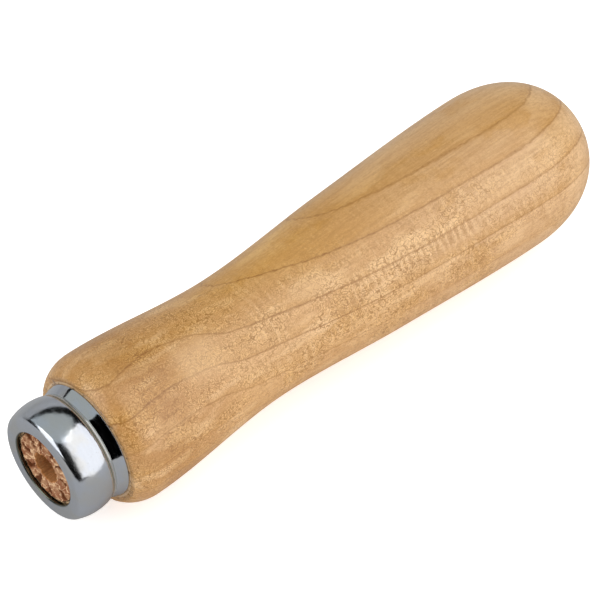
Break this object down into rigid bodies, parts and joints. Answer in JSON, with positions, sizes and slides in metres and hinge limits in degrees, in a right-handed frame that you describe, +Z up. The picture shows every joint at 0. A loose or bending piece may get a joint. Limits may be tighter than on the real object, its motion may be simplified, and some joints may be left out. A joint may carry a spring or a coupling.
{
  "type": "file handle",
  "caption": "Turned hardwood handle for a file or other tanged hand tool, with a pressed steel ferrule round the mouth of its blind tang bore.",
  "frame": {"origin": "under the middle of the handle, at the height of the lowest point of its belly as it lies on its side", "axes": "+X along the handle from the ferrule to the butt, +Z up, +Y across"},
  "size_m": [0.12, 0.03, 0.03],
  "materials": {
    "turned_maple": "fine sanded, with a thin satin wax or lacquer",
    "zinc_plated_steel": "bright zinc plating, bluish, lightly scuffed"
  },
  "bodies": {
    "root": {"wooden_grip": "turned_maple", "steel_ferrule": "zinc_plated_steel"}
  },
  "joints": []
}
